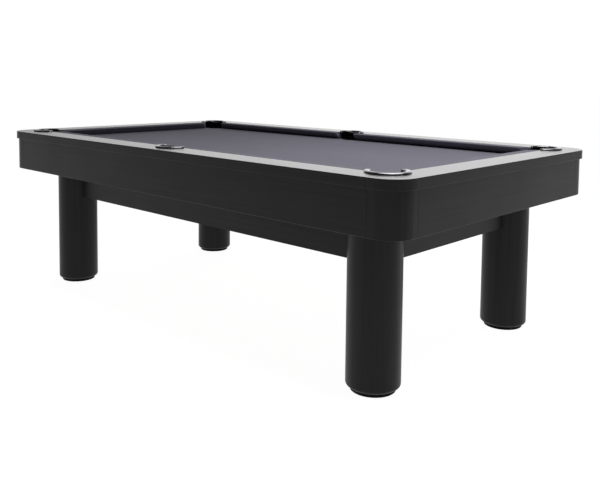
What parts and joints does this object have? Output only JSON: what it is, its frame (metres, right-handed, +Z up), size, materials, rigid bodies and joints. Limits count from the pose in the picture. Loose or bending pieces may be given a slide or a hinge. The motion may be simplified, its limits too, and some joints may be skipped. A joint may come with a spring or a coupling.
{
  "type": "pool table",
  "caption": "Eight-foot pool table: slate bed under grey cloth, flat charcoal rails with rounded corners, raised metal pocket castings, drop pockets and round column legs on levelling feet.",
  "frame": {"origin": "on the floor, under the middle of the table", "axes": "+X along the table's length, +Y across it, +Z up"},
  "size_m": [2.5908, 1.4732, 0.8223],
  "materials": {
    "charcoal_wood": "satin charcoal lacquer",
    "rail_wood": "satin charcoal lacquer",
    "frame_wood": "bare planed timber",
    "slate_stone": "ground",
    "bed_felt": "worsted billiard cloth",
    "rail_felt": "worsted billiard cloth",
    "cushion_rubber": "gum rubber",
    "feather_wood": "bare softwood",
    "casting_nickel": "polished dark nickel",
    "liner_plastic": "moulded, matt",
    "zinc_steel": "zinc plated",
    "foot_black": "satin black",
    "pad_plastic": "moulded, matt"
  },
  "bodies": {
    "table": {"leg_front_left": "charcoal_wood", "pocket_casting_front_left_corner": "casting_nickel", "pocket_liner_front_left_corner": "liner_plastic", "leg_front_right": "charcoal_wood", "pocket_casting_front_right_corner": "casting_nickel", "pocket_liner_front_right_corner": "liner_plastic", "leg_back_right": "charcoal_wood", "pocket_casting_back_right_corner": "casting_nickel", "pocket_liner_back_right_corner": "liner_plastic", "leg_back_left": "charcoal_wood", "pocket_casting_back_left_corner": "casting_nickel", "pocket_liner_back_left_corner": "liner_plastic", "pocket_casting_front_side": "casting_nickel", "pocket_liner_front_side": "liner_plastic", "side_beam_front": "charcoal_wood", "side_rail_front": "rail_wood", "side_apron_front": "charcoal_wood", "pocket_casting_back_side": "casting_nickel", "pocket_liner_back_side": "liner_plastic", "side_beam_back": "charcoal_wood", "side_rail_back": "rail_wood", "side_apron_back": "charcoal_wood", "end_rail_left": "rail_wood", "end_rail_right": "rail_wood", "slate_left": "slate_stone", "slate_middle": "slate_stone", "slate_right": "slate_stone", "end_beams": "charcoal_wood", "inner_beams": "frame_wood", "corner_blocks": "frame_wood", "leg_inserts": "zinc_steel", "leg_bolts": "zinc_steel", "frame_bolts": "zinc_steel", "slate_backing": "frame_wood", "slate_dowels": "zinc_steel", "slate_screws": "zinc_steel", "bed_cloth": "bed_felt", "rail_corners": "rail_wood", "side_cushions": "cushion_rubber", "end_cushions": "cushion_rubber", "cushion_facings": "cushion_rubber", "rail_cloth": "rail_felt", "feather_strips": "feather_wood", "rail_bolts": "zinc_steel", "nut_plates": "zinc_steel", "washers": "zinc_steel", "casting_screws": "zinc_steel", "end_aprons": "charcoal_wood", "apron_corners": "charcoal_wood", "splice_blocks": "frame_wood", "apron_brackets": "zinc_steel", "wood_screws": "zinc_steel"},
    "foot_pad_front_left": {"foot_pad_front_left": "pad_plastic"},
    "leveller_front_left": {"leveller_front_left": "foot_black"},
    "foot_pad_front_right": {"foot_pad_front_right": "pad_plastic"},
    "leveller_front_right": {"leveller_front_right": "foot_black"},
    "foot_pad_back_right": {"foot_pad_back_right": "pad_plastic"},
    "leveller_back_right": {"leveller_back_right": "foot_black"},
    "foot_pad_back_left": {"foot_pad_back_left": "pad_plastic"},
    "leveller_back_left": {"leveller_back_left": "foot_black"}
  },
  "joints": [
    {"name": "foot_lift_front_left", "type": "slide", "parent": "table", "child": "foot_pad_front_left", "axis": [0, 0, -1], "range_m": [0, 0.016]},
    {"name": "foot_turn_front_left", "type": "hinge", "parent": "foot_pad_front_left", "child": "leveller_front_left", "pos_m": [-1.023, -0.487, 0.01], "axis": [0, 0, -1], "range_deg": [0, 2880]},
    {"name": "foot_lift_front_right", "type": "slide", "parent": "table", "child": "foot_pad_front_right", "axis": [0, 0, -1], "range_m": [0, 0.016]},
    {"name": "foot_turn_front_right", "type": "hinge", "parent": "foot_pad_front_right", "child": "leveller_front_right", "pos_m": [1.023, -0.487, 0.01], "axis": [0, 0, -1], "range_deg": [0, 2880]},
    {"name": "foot_lift_back_right", "type": "slide", "parent": "table", "child": "foot_pad_back_right", "axis": [0, 0, -1], "range_m": [0, 0.016]},
    {"name": "foot_turn_back_right", "type": "hinge", "parent": "foot_pad_back_right", "child": "leveller_back_right", "pos_m": [1.023, 0.487, 0.01], "axis": [0, 0, -1], "range_deg": [0, 2880]},
    {"name": "foot_lift_back_left", "type": "slide", "parent": "table", "child": "foot_pad_back_left", "axis": [0, 0, -1], "range_m": [0, 0.016]},
    {"name": "foot_turn_back_left", "type": "hinge", "parent": "foot_pad_back_left", "child": "leveller_back_left", "pos_m": [-1.023, 0.487, 0.01], "axis": [0, 0, -1], "range_deg": [0, 2880]}
  ],
  "couplings": [
    {"joint": "foot_lift_front_left", "follows": "foot_turn_front_left", "m_per_rad": 0.00031831},
    {"joint": "foot_lift_front_right", "follows": "foot_turn_front_right", "m_per_rad": 0.00031831},
    {"joint": "foot_lift_back_right", "follows": "foot_turn_back_right", "m_per_rad": 0.00031831},
    {"joint": "foot_lift_back_left", "follows": "foot_turn_back_left", "m_per_rad": 0.00031831}
  ]
}
